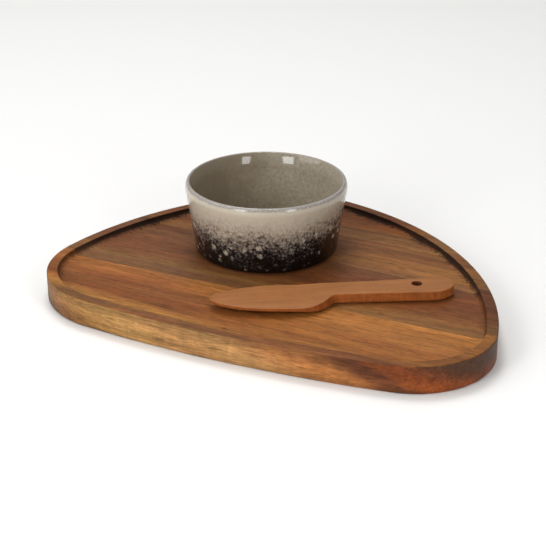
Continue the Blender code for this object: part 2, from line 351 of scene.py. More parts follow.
def ruled(first, second):
    """Point = first + s * (second - first), with s even from 0 to 1: a flat face between two edges."""
    share = np.linspace(0.0, 1.0, RULED_STEPS)[None, :, None]
    return first[:, None] + share * (second - first)[:, None]


def board_profile(tray):
    """(inset, z) of the milled board, from well in under it, round its edge and down to the pocket."""
    top = FRONT_BOX[1].z
    ease, bottom, rim, cove, inner = (
        tray.top_ease, tray.bottom_ease, tray.rim_width, tray.cove, tray.inner_ease,
    )
    pieces = [
        straight((RAIL_INSET, 0.0), (bottom, 0.0), 6),
        ellipse((bottom, bottom), (bottom, bottom), 1.5 * pi, pi, 7),
        straight((0.0, bottom), (0.0, top - ease), 8),
        ellipse((ease, top - ease), (ease, ease), pi, 0.5 * pi, 6),
        straight((ease, top), (rim - inner, top), 6),
        ellipse((rim - inner, top - inner), (inner, inner), 0.5 * pi, 0.0, 4),
        ellipse((rim + cove, POCKET_FLOOR + cove), (cove, cove), pi, 1.5 * pi, 9),
        straight((rim + cove, POCKET_FLOOR), (RAIL_INSET, POCKET_FLOOR), 14),
    ]
    joined = np.concatenate([part[1:] if i else part for i, part in enumerate(pieces)])
    return joined[np.concatenate([[True], np.hypot(*np.diff(joined, axis=0).T) > WELD])]


# One stave: its names, what sets its grain apart (seed), how far its bands drift across per metre
# of length (slope), where its pith lies, and two ladders of (y in mm, colour) for its two ends.
Stave = namedtuple("Stave", "name node slot seed slope pith left right")

STAVES = (
    Stave(
        "front_stave_acacia", "front_stave", "acacia_front", 3.0, 0.075, (-0.112, -0.030),
        ((-127, "#784E27"), (-114, "#6F4827"), (-111, "#835629"), (-105, "#A36F32"), (-99, "#9B632E"),
         (-95, "#7F491F"), (-88, "#77421D"), (-80, "#834F25"), (-75, "#814A23"), (-70, "#8C5426"),
         (-64, "#9C602D"), (-59, "#8E5626"), (-54, "#9B602D"), (-50, "#8D5929")),
        ((-127, "#7A4A25"), (-115, "#734220"), (-110, "#945E2B"), (-105, "#99612D"), (-98, "#8B5324"),
         (-92, "#965E2A"), (-85, "#8F5727"), (-78, "#9F652F"), (-70, "#A26731"), (-64, "#9B632E"),
         (-57, "#99602A"), (-52, "#A96D31")),
    ),
    Stave(
        "middle_stave_acacia", "middle_stave", "acacia_middle", 11.0, 0.01, (-0.030, -0.055),
        ((-50, "#6D492D"), (-46, "#764F2C"), (-41, "#70482D"), (-36, "#7E5932"), (-32, "#80572E"),
         (-27, "#734928"), (-18, "#6F4528"), (-8, "#693E21"), (2, "#724526"), (13, "#694327")),
        ((-50, "#83582E"), (-44, "#7D532A"), (-38, "#7E5129"), (-30, "#764621"), (-20, "#71411F"),
         (-12, "#67381A"), (-2, "#734120"), (13, "#6D4123")),
    ),
    Stave(
        "rear_stave_acacia", "rear_stave", "acacia_rear", 23.0, 0.06, (0.044, -0.048),
        ((13, "#724C2A"), (18, "#664024"), (22, "#59341C"), (26, "#674024"), (32, "#83562F"),
         (38, "#784D29"), (46, "#6E4020"), (60, "#683E1F"), (79, "#653E22")),
        ((13, "#794A2A"), (14.5, "#5C3A20"), (17, "#875A34"), (22, "#8C5C34"), (27, "#946130"),
         (31, "#8B5B2F"), (36, "#946130"), (41, "#8B5A2F"), (46, "#774B29"), (50, "#81522B"),
         (54, "#6F4324"), (59, "#7F542D"), (63, "#774B29"), (66, "#916739"), (70, "#7A502B"),
         (75, "#875D34"), (80, "#7D5930")),
    ),
    Stave(
        "back_corner_stave_acacia", "back_corner_stave", "acacia_back", 37.0, -0.02, (0.120, -0.040),
        ((79, "#744C28"), (84, "#684121"), (90, "#724720"), (100, "#663A1B"), (127, "#684121")),
        ((79, "#855B31"), (83, "#6F4728"), (88, "#814F23"), (94, "#7D4920"), (102, "#6F3F1E"),
         (127, "#673F20")),
    ),
)

FRONT_WALL = (
    (-168, "#67492F"), (-150, "#855C34"), (-135, "#8B5C33"), (-110, "#A87A43"), (-70, "#B2864E"),
    (-30, "#B2814E"), (10, "#B58751"), (35, "#AB7644"), (60, "#AC6E3B"), (82, "#A16636"),
    (97, "#764424"), (112, "#693A20"), (123, "#8E4A20"), (140, "#93491F"), (152, "#844724"),
    (160, "#6E3E22"), (168, "#63402A"),
)


def make_staves(tray):
    """Each stave is the milled board between two glue planes: edge grids, flat faces and end caps."""
    arcs, headings = board_arcs(tray)
    profile = board_profile(tray)
    beyond = 1.0
    planes = [(a[1].y + b[0].y) / 2 for a, b in zip(STAVE_BOXES, STAVE_BOXES[1:])]
    lows = [-beyond, *[y + tray.glue_line / 2 for y in planes]]
    highs = [*[y - tray.glue_line / 2 for y in planes], beyond]
    for stave, low, high in zip(STAVES, lows, highs):
        right = board_edge(arcs, headings, profile, low, high, 1)
        left = board_edge(arcs, headings, profile, low, high, -1)
        inset = np.broadcast_to(profile[:, :1], right.shape[:2])
        flats = [ruled(left[row], right[row]) for row in (0, -1)]
        deep = [np.full(flat.shape[:2], RAIL_INSET) for flat in flats]
        grids = [right, left[:, ::-1], *flats]
        values = {"inset": [inset, inset, *deep]}
        piece = finished_piece(stave.name, grids, [oiled_acacia(stave, tray, low, high)], values)
        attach(piece, "tray")
        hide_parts(stave.node)


# ---- Dip bowl ----

BOWL_STEPS = 240


def bowl_profile(bowl):
    """(radius, height) from under the bowl, out over its foot, up its side, over the lip and down
    its inside to the middle of the floor, with the number of the lip's crest.
    """
    radius = (BOWL_BOX[1].x - BOWL_BOX[0].x) / 2
    height = BOWL_BOX[1].z - BOWL_BOX[0].z
    lean = bowl.side_lean
    ring_outer = bowl.base_radius - bowl.foot_inset
    ring_inner = ring_outer - bowl.foot_width
    soft = 0.4 * MM
    edge = (bowl.base_radius - bowl.base_edge, bowl.foot_height + bowl.base_edge)
    outer_turn = -atan(tan(lean) * bowl.lip_outer_height / bowl.lip_outer)
    outer_center = (radius - bowl.lip_outer, height - bowl.lip_outer_height)
    outer = ellipse(outer_center, (bowl.lip_outer, bowl.lip_outer_height), outer_turn, pi / 2, 22)
    top_slope = tan(lean) + 2 * bowl.flare / bowl.flare_height
    inner_turn = pi - atan(top_slope * bowl.lip_inner_height / bowl.lip_inner)
    inner_center = (radius - bowl.lip_outer, height - bowl.lip_inner_height)
    inner = ellipse(inner_center, (bowl.lip_inner, bowl.lip_inner_height), pi / 2, inner_turn, 12)
    drop = np.linspace(0.0, bowl.flare_height, 15)
    eased = bowl.flare * (1 - (1 - drop / bowl.flare_height) ** 2)
    flare = np.stack([inner[-1, 0] - drop * tan(lean) - eased, inner[-1, 1] - drop], -1)
    corner_z = bowl.floor + bowl.inner_corner
    wall_x = flare[-1, 0] - (flare[-1, 1] - corner_z) * tan(lean)
    corner_x = wall_x - bowl.inner_corner / cos(lean)
    corner = ellipse((corner_x, corner_z), (bowl.inner_corner,) * 2, -lean, -pi / 2, 14)
    base = ellipse(edge, (bowl.base_edge,) * 2, -pi / 2, -lean, 7)
    parts = [
        straight((POLE, bowl.foot_height), (ring_inner, bowl.foot_height), 10),
        straight((ring_inner, bowl.foot_height), (ring_inner, soft), 2),
        ellipse((ring_inner + soft, soft), (soft, soft), pi, 1.5 * pi, 3),
        straight((ring_inner + soft, 0.0), (ring_outer - soft, 0.0), 3),
        ellipse((ring_outer - soft, soft), (soft, soft), -pi / 2, 0.0, 3),
        straight((ring_outer, soft), (ring_outer, bowl.foot_height), 2),
        straight((ring_outer, bowl.foot_height), base[0], 4),
        base,
        straight(base[-1], outer[0], 44),
        outer,
        inner,
        flare,
        straight(flare[-1], corner[0], 24),
        corner,
        straight(corner[-1], (POLE, bowl.floor), 16),
    ]
    joined = np.concatenate([part[1:] if i else part for i, part in enumerate(parts)])
    to_crest = parts[:10]  # the last of these is the lip's outer rounding
    crest = sum(len(part) - 1 for part in to_crest)
    return joined, crest


def make_bowl(bowl):
    """Point = (r cos a, r sin a, z) round the profile (r, z), with r swollen by a few parts in a
    thousand in slow waves round the bowl, as a thrown piece has.
    """
    profile, crest = bowl_profile(bowl)
    turns = np.linspace(0.0, tau, BOWL_STEPS + 1)
    share = profile[:, 1:] / profile[:, 1].max() * profile[:, :1] / profile[:, 0].max()
    swell = 1 + share * (0.0014 * np.sin(2 * turns + 0.6) + 0.0007 * np.sin(3 * turns + 2.0))
    lift = 0.12 * MM * share * np.sin(2 * turns + 1.3)
    center = (BOWL_BOX[0] + BOWL_BOX[1]) / 2
    radius = profile[:, :1] * swell
    x = center.x + radius * np.cos(turns)
    y = center.y + radius * np.sin(turns)
    z = POCKET_FLOOR + CONTACT_GAP + profile[:, 1:] + lift
    x[:, -1], y[:, -1], z[:, -1] = x[:, 0], y[:, 0], z[:, 0]
    way = np.concatenate([[0.0], np.cumsum(np.hypot(*np.diff(profile, axis=0).T))])
    from_lip = np.repeat((way - way[crest])[:, None], BOWL_STEPS + 1, axis=1)
    piece = finished_piece(
        "dip_bowl_stoneware",
        [np.stack([x, y, z], -1)],
        [reactive_glaze(center), bare_stoneware(bowl)],
        {"from_lip": [from_lip]},
        sharp_angle=50,
    )
    mesh = piece.data
    centers = np.zeros(len(mesh.polygons) * 3)
    mesh.polygons.foreach_get("center", centers)
    bare = centers.reshape(-1, 3)[:, 2] < POCKET_FLOOR + CONTACT_GAP + 0.6 * bowl.foot_height
    mesh.polygons.foreach_set("material_index", bare.astype(np.int32))
    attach(piece, "bowl")
    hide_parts("dip_bowl")


# ---- Spreader ----

CURVE_STEPS = 160
STATIONS = 220
CROWN_STEPS = 12
FACE_STEPS = 7
HOLE_STEPS = 48
TIP_FAN = 13 * MM
END_FAN = 11.5 * MM


def smooth_edge(knots):
    """Cubic curves through knots of (point, heading): B(t) = (1-t)^3 P0 + 3 (1-t)^2 t P1 +
    3 (1-t) t^2 P2 + t^3 P3, with each handle half as long as the way covered along its heading.
    """
    t = np.linspace(0.0, 1.0, CURVE_STEPS)[:, None]
    runs = []
    for (start, leaving), (end, arriving) in zip(knots, knots[1:]):
        start, end = np.array(start), np.array(end)
        leave = np.array((cos(leaving), sin(leaving)))
        arrive = np.array((cos(arriving), sin(arriving)))
        first = start + leave * abs((end - start) @ leave) / 2
        second = end - arrive * abs((end - start) @ arrive) / 2
        runs.append(
            (1 - t) ** 3 * start + 3 * (1 - t) ** 2 * t * first + 3 * (1 - t) * t**2 * second + t**3 * end
        )
    return np.concatenate(runs)


def spreader_edges(s):
    """The back edge and the front edge, each from the tip of the blade to the end of the handle."""
    tip, end = (-s.blade_length, s.tip_y), (s.handle_length, 0.0)
    neck, half_end = s.neck_width / 2, s.handle_end / 2
    flare = atan2(half_end - neck, s.handle_length)
    back = (
        (tip, pi / 2),
        ((-s.blade_widest, s.back_rise), 0.0),
        ((0.0, neck), 0.0),
        ((s.handle_length - s.back_rounding, half_end), flare),
        (end, -pi / 2),
    )
    front = (
        (tip, -pi / 2),
        ((-s.blade_widest, -s.belly_drop), 0.0),
        ((s.shoulder_x, -(s.belly_drop + neck) / 2), pi / 4),
        ((0.0, -neck), 0.0),
        ((s.handle_length - s.front_rounding, -half_end), -flare),
        (end, pi / 2),
    )
    return smooth_edge(back), smooth_edge(front)


def spreader_half(s, edge, other, sign):
    """One side of the spreader as a grid: stations along an edge by steps from the top of its
    middle line, out over the edge and back to the bottom of the middle line. sign is 1 for the
    back side and -1 for the side with the spreading edge.

    Point = edge + d * (towards the middle line), height = edge/2 + (full - edge)/2 * sin(u) where
    d = ease * (1 - cos u), and full/2 further in. Near both ends the lines fan round one point.
    The blade is then lifted in one smooth step.
    """
    if sign > 0:
        thin, bevel = s.back_thickness, s.back_ease
    else:
        thin, bevel = s.edge_thickness, s.bevel_width
    low, high = -s.blade_length, s.handle_length
    x = low + (high - low) * (1 - np.cos(np.linspace(0.0, pi, STATIONS))) / 2
    y = np.interp(x, *edge.T)
    middle_x = np.clip(x, low + TIP_FAN, high - END_FAN)
    middle_y = (np.interp(middle_x, *edge.T) + np.interp(middle_x, *other.T)) / 2
    reach = np.hypot(middle_x - x, middle_y - y)
    slope_start, slope_length = 6 * MM, 26 * MM
    blade = smooth_share((-slope_start - x) / slope_length)
    to_tip = smooth_share((-s.blade_widest - x) / (s.blade_length - s.blade_widest))
    blade_full = s.blade_thickness + (s.tip_thickness - s.blade_thickness) * to_tip
    full = s.thickness + (blade_full - s.thickness) * blade
    turn = np.linspace(0.0, pi / 2, CROWN_STEPS)
    further = np.linspace(0.0, 1.0, FACE_STEPS + 1)[1:]

    def face(handle_ease):
        handle_edge = s.thickness - 2 * handle_ease
        edge_height = handle_edge + (np.minimum(thin, 0.9 * blade_full) - handle_edge) * blade
        ease = np.minimum(handle_ease + (bevel - handle_ease) * blade, 0.9 * reach)
        crown_d = ease[:, None] * (1 - np.cos(turn))
        crown_z = edge_height[:, None] / 2 + (full - edge_height)[:, None] / 2 * np.sin(turn)
        face_d = ease[:, None] + (reach - ease)[:, None] * further
        face_z = np.repeat(full[:, None] / 2, FACE_STEPS, axis=1)
        inward = np.concatenate([crown_d, face_d], 1) / np.maximum(reach, WELD)[:, None]
        across_x = x[:, None] + inward * (middle_x - x)[:, None]
        across_y = y[:, None] + inward * (middle_y - y)[:, None]
        return np.stack([across_x, across_y, np.concatenate([crown_z, face_z], 1)], -1)

    upper, lower = face(s.handle_ease)[:, ::-1], face(s.under_ease) * (1, 1, -1)
    share = np.linspace(0.1, 0.9, 5)[None, :, None]
    wall = upper[:, -1:] + share * (lower[:, :1] - upper[:, -1:])
    half = np.concatenate([upper, wall, lower], 1)[:, ::sign]
    half[..., 2] += s.blade_lift * smooth_share((-slope_start - half[..., 0]) / (1.6 * slope_length))
    return half


def drill(s):
    """A turned cutter for the hanging hole: r = hole radius, growing by ease * (1 - cos u) at
    both faces, so that the hole's edges are eased.
    """
    radius, ease, half = s.hole / 2, 0.5 * MM, s.thickness / 2
    turn = np.linspace(0.0, pi / 2, 6)
    flare = np.stack([radius + ease * (1 - np.cos(turn)), half - ease + ease * np.sin(turn)], -1)
    upper = np.concatenate([flare, [(radius + ease, 2 * half), (POLE, 2 * half)]])
    profile = np.concatenate([upper[::-1] * (1, -1), upper])
    turns = np.linspace(0.0, tau, HOLE_STEPS + 1)
    hole_x = s.handle_length - s.hole_from_end
    x = hole_x + profile[:, :1] * np.cos(turns)
    y = s.hole_y + profile[:, :1] * np.sin(turns)
    x[:, -1], y[:, -1] = x[:, 0], y[:, 0]
    return np.stack([x, y, np.broadcast_to(profile[:, 1:], x.shape)], -1)


def in_tray(s, grid):
    """Turns and moves a grid from the spreader's own axes into the tray's."""
    c, w = cos(s.turn), sin(s.turn)
    x, y, z = np.moveaxis(grid, -1, 0)
    rise = POCKET_FLOOR + CONTACT_GAP + s.thickness / 2
    return np.stack([s.neck_x + c * x - w * y, s.neck_y + w * x + c * y, rise + z], -1)


def make_spreader(s):
    """The two halves, welded along the middle line and pierced by the drill for the hanging hole."""
    back, front = spreader_edges(s)
    grids = [spreader_half(s, back, front, 1), spreader_half(s, front, back, -1)]
    piece = finished_piece("spreader_wood", [in_tray(s, grid) for grid in grids], [oiled_spreader(s)])
    cutter = finished_piece("hanging_hole_drill", [in_tray(s, drill(s))], [])
    hole = piece.modifiers.new("Hanging hole", "BOOLEAN")
    hole.operation, hole.solver, hole.object = "DIFFERENCE", "EXACT", cutter
    bpy.context.view_layer.update()
    whole = piece.data
    piece.data = bpy.data.meshes.new_from_object(piece.evaluated_get(bpy.context.evaluated_depsgraph_get()))
    piece.modifiers.clear()
    bpy.data.objects.remove(cutter)
    bpy.data.meshes.remove(whole)
    piece.data.shade_smooth()
    piece.data.set_sharp_from_angle(angle=radians(35))
    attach(piece, "spreader")
    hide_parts("spreader")


# ---- Materials ----

SMOOTH = {"interpolation_type": "SMOOTHSTEP"}
BAND_TILT = 0.25  # how far acacia's bands drift across for each metre of depth
RING_WIDTH = 3.4 * MM
# Towards the side the light comes from. Inside the bowl the glaze is browner on that side and painted
# darker there as shade; outside, painted shade lets the black climb higher on the far side.
LIGHT_SIDE = (-0.90, -0.43, 0.0)  # towards the side of the bowl that is browner inside


def fill(node, inputs):
    """Links each input to a socket, or to the first output that a node has in use, or sets it."""
    for name, value in inputs.items():
        if isinstance(value, bpy.types.Node):
            value = next(output for output in value.outputs if output.enabled)
        if isinstance(value, bpy.types.NodeSocket):
            node.id_data.links.new(value, node.inputs[name])
        else:
            node.inputs[name].default_value = value


def add_node(tree, kind, inputs=(), operation=None, stops=(), **settings):
    """Adds a node, makes its operation, its other settings and its ramp's stops, then fills its
    inputs, which are given by name, or in the order of the sockets that it has in use.
    """
    node = tree.nodes.new("ShaderNode" + kind)
    if operation:
        node.operation = operation
    for name, value in settings.items():
        setattr(node, name, value)
    for i, (position, shade) in enumerate(stops):
        elements = node.color_ramp.elements
        element = elements[i] if i < 2 else elements.new(position)
        element.position = position
        element.color = linear(shade) if isinstance(shade, str) else (shade, shade, shade, 1.0)
    if not isinstance(inputs, dict):
        in_use = [i for i, socket in enumerate(node.inputs) if socket.enabled]
        inputs = dict(zip(in_use, inputs))
    fill(node, inputs)
    return node


def new_material(name):
    """A new material, the function that adds a node to it, and its shader."""
    material = bpy.data.materials.new(name)
    material.use_nodes = True
    tree = material.node_tree
    return material, partial(add_node, tree), tree.nodes["Principled BSDF"]


def drawn_noise(add, spot, along, across, detail=3.0, roughness=0.55, distortion=0.0):
    """Noise whose grains are that many millimetres long and wide. Its result runs about 0 to 1."""
    scale = [1 / (size * MM) for size in (along, across, across)]
    stretched = add("VectorMath", (spot, scale), "MULTIPLY")
    return add(
        "TexNoise",
        {
            "Vector": stretched, "Scale": 1.0, "Detail": detail, "Roughness": roughness,
            "Distortion": distortion,
        },
    )


def varied(add, tone, pattern, amount):
    """tone * (1 + amount * (pattern - 0.5))."""
    term = add("Math", (pattern, amount, 1 - amount / 2), "MULTIPLY_ADD")
    return add("Math", (tone, term), "MULTIPLY")


def ladder(stops, low, high):
    """Stops for a ramp that runs from low to high metres, from (millimetres, colour) pairs."""
    return [(min(max((mm * MM - low) / (high - low), 0.0), 1.0), shade) for mm, shade in stops]


def oiled_acacia(stave, tray, low, high):
    """Acacia, planed, routed, sanded and oiled: long bands of brown heartwood and golden sapwood,
    thin growth lines, short dark pore dashes and a satin, slightly uneven oil sheen.
    """
    material, add, shader = new_material("oiled_acacia_" + stave.slot.split("_")[1])
    spot = add("TexCoord").outputs["Object"]
    low, high = max(low, CAD_BOX[0][1]), min(high, CAD_BOX[1][1])

    # The bands waver by a few millimetres over a hand's length.
    seeded = add("Mapping", {"Vector": spot, "Location": (stave.seed, stave.seed * 0.7, 0.0)})
    waver = drawn_noise(add, seeded, 150, 30, 2.0)
    centered = add("VectorMath", (waver.outputs["Color"], (0.5, 0.5, 0.5)), "SUBTRACT")
    warped = add("VectorMath", (centered, (0.0, 9 * MM, 9 * MM), spot), "MULTIPLY_ADD")
    grain = add("Mapping", {"Vector": warped, "Location": (stave.seed, stave.seed * 0.7, 0.0)})

    # Across the stave: one ladder of colours for its left end and one for its right.
    across = add("VectorMath", (warped, (stave.slope, 1.0, BAND_TILT)), "DOT_PRODUCT")
    ends = []
    for stops, measured_x in ((stave.left, -0.1), (stave.right, 0.1)):
        shift = stave.slope * measured_x + BAND_TILT * POCKET_FLOOR
        position = add("MapRange", (across, low + shift, high + shift))
        ends.append(add("ValToRGB", (position,), stops=ladder(stops, low, high)))
    axes = add("SeparateXYZ", (warped,)).outputs
    rightness = add("MapRange", (axes["X"], -70 * MM, 70 * MM), **SMOOTH)
    bands = add("Mix", (rightness, ends[0], ends[1]), data_type="RGBA")

    # Growth lines: shells round the pith, which lies below the board.
    from_pith = add(
        "VectorMath", (warped, (0.0, 1.0, 1.0), (0.0, -stave.pith[0], -stave.pith[1])), "MULTIPLY_ADD",
    )
    depth = add("VectorMath", (from_pith,), "LENGTH")
    rings = add("Math", (depth, 1 / RING_WIDTH), "MULTIPLY")
    uneven = drawn_noise(add, grain, 220, 16, 2.0)
    ring_place = add("Math", (uneven, 3.0, rings), "MULTIPLY_ADD")
    ring_share = add("Math", (ring_place,), "FRACT")
    ring_tone = add(
        "ValToRGB", (ring_share,),
        stops=[(0.0, 0.55), (0.3, 0.62), (0.72, 0.50), (0.88, 0.30), (1.0, 0.55)],
    )

    # Streaks along the grain, from a finger's width down to a hair's, and a faint curl across it.
    # The open pores are drawn wider than real ones, so that they show.
    broad = drawn_noise(add, grain, 130, 7, 2.0)
    middling = drawn_noise(add, grain, 48, 2.8, 3.0)
    fine = drawn_noise(add, grain, 15, 1.2, 4.0, 0.65)
    pores = drawn_noise(add, grain, 4.5, 0.5, 1.0)
    dashes = drawn_noise(add, grain, 13, 1.2, 1.0)
    curl = drawn_noise(add, grain, 4.0, 16, 2.0)
    tone = add("Math", (ring_tone, 0.30, 0.87), "MULTIPLY_ADD")
    for pattern, amount in ((broad, 0.6), (middling, 1.0), (fine, 1.5), (curl, 0.25)):
        tone = varied(add, tone, pattern, amount)
    pore_share = add("MapRange", (pores, 0.58, 0.76))
    dash_share = add("MapRange", (dashes, 0.57, 0.70, 0.0, 0.9))
    dark_share = add("Math", (pore_share, dash_share), "MAXIMUM")

    # Warm and red drifts between the bands.
    drift = drawn_noise(add, grain, 90, 11, 2.0)
    redness = add("MapRange", (drift, 0.52, 0.78, 0.0, 0.35))
    wood = add("Mix", (redness, bands, linear("#84421F")), data_type="RGBA")
    normal = add("SeparateXYZ", (add("NewGeometry").outputs["Normal"],)).outputs
    inset = add("Attribute", attribute_name="inset").outputs["Fac"]
    if stave.node == "front_stave":
        wood = front_wall_wood(add, wood, axes, grain, normal, inset)

    # The rim turns darker towards the right end of the board.
    on_rim = add("MapRange", (inset, 8.4 * MM, 7.4 * MM))
    upward = add("MapRange", (normal["Z"], 0.3, 0.85))
    on_rim = add("Math", (on_rim, upward), "MULTIPLY")
    rim_shade = add("MapRange", (axes["X"], 60 * MM, 150 * MM, 0.0, -0.35), **SMOOTH)
    rim_tone = add("Math", (on_rim, rim_shade, 1.0), "MULTIPLY_ADD")
    tone = add("Math", (tone, rim_tone), "MULTIPLY")
    toned = add("VectorMath", (wood, tone), "SCALE")
    pore_fade = add("Math", (dark_share, 0.45), "MULTIPLY")
    pored = add("Mix", (pore_fade, toned, tray.pore), data_type="RGBA")

    # End grain drinks more oil and turns darker; the router's charring lies in the cove, with painted shade
    # there too.
    facing = add("Math", (normal["X"],), "ABSOLUTE")
    end_grain = add("MapRange", (facing, 0.55, 0.98, 1.0, 0.82))
    soaked = add("VectorMath", (pored, end_grain), "SCALE")
    scorch_and_shade = scorch_and_cove_shade(add, axes, grain, inset)
    burnt = add("Mix", (scorch_and_shade, soaked, tray.scorch_and_shade), data_type="RGBA")

    sheen = add("Math", (fine, 0.22, 0.36), "MULTIPLY_ADD")
    dull = add("Math", (dark_share, 0.5, scorch_and_shade), "MULTIPLY_ADD")
    gloss = add("Math", (dull, 0.40, sheen), "MULTIPLY_ADD")
    relief = add("Math", (dark_share, -0.8, fine), "MULTIPLY_ADD")
    bump = add("Bump", {"Height": relief, "Strength": 0.45, "Distance": 0.12 * MM})
    fill(shader, {"Base Color": burnt, "Roughness": gloss, "Normal": bump})
    fill(shader, {"IOR": 1.45, "Specular IOR Level": 0.20})
    return material


def front_wall_wood(add, surface, axes, grain, normal, inset):
    """Golden, curly sapwood where the front wall cuts below the brown of the rim. Its brightest
    streak sinks towards the right, where red heartwood takes over.
    """
    slant = 2.2
    along = add("Math", (axes["Z"], slant, axes["X"]), "MULTIPLY_ADD")
    shift = slant * 10 * MM
    position = add("MapRange", (along, CAD_BOX[0][0] + shift, CAD_BOX[1][0] + shift))
    wall = add("ValToRGB", (position,), stops=ladder(FRONT_WALL, CAD_BOX[0][0], CAD_BOX[1][0]))
    waver = drawn_noise(add, grain, 26, 5, 5.0, 0.65)
    level = add("Math", (waver, 11 * MM, axes["Z"]), "MULTIPLY_ADD")
    sinking = add("MapRange", (axes["X"], 0.0, 100 * MM, 0.0, 6 * MM))
    raised = add("Math", (level, sinking))
    streak = add("MapRange", (raised, 5.5 * MM, 26.5 * MM))
    height_tone = add(
        "ValToRGB", (streak,),
        stops=[
            (0.0, 0.66), (0.14, 0.84), (0.30, 0.76), (0.50, 1.0), (0.60, 1.0), (0.76, 0.80),
            (0.90, 0.66),
        ],
    )
    curl = drawn_noise(add, grain, 6, 12, 2.0, 0.5, 0.8)
    shaded = varied(add, height_tone, curl, 0.5)
    golden = add("VectorMath", (wall, shaded), "SCALE")
    outward = add("MapRange", (normal["Z"], 0.85, 0.3), **SMOOTH)
    outside = add("MapRange", (inset, 5 * MM, 3 * MM))
    share = add("Math", (outward, outside), "MULTIPLY")
    return add("Mix", (share, surface, golden), data_type="RGBA")


def scorch_and_cove_shade(add, axes, grain, inset):
    """How dark the cove is painted, 0 to 1: the router's charring together with painted shade, most in the
    cove at the back, the charring thinning out over the floor in hairs along the grain.
    """
    hairs = drawn_noise(add, grain, 8, 0.9, 3.0, 0.7)
    patches = drawn_noise(add, grain, 30, 30, 1.0)
    frayed = add("Math", (hairs, -22 * MM, inset), "MULTIPLY_ADD")
    patched = add("Math", (patches, -9 * MM, frayed), "MULTIPLY_ADD")
    on_floor = add("MapRange", (patched, -4.4 * MM, -6.8 * MM, 0.0, 0.8), **SMOOTH)
    # In the cove the darkening is painted shade as well as charring, strongest at the back.
    deep = add("Math", (patches, -4 * MM, inset), "MULTIPLY_ADD")
    cove_scorch_and_shade = add("MapRange", (deep, 8.1 * MM, 6.7 * MM, 0.0, 0.92), **SMOOTH)
    inner = add("Math", (on_floor, cove_scorch_and_shade), "MAXIMUM")
    outer = add("MapRange", (inset, 7.5 * MM, 7.95 * MM))
    above = add("MapRange", (axes["Z"], 14 * MM, 15 * MM))
    skewed = add("Math", (axes["X"], -0.16, axes["Y"]), "MULTIPLY_ADD")
    at_back = add("MapRange", (skewed, -45 * MM, 12 * MM, 0.45, 1.0), **SMOOTH)
    share = inner
    for limit in (outer, above, at_back):
        share = add("Math", (share, limit), "MULTIPLY")
    return share


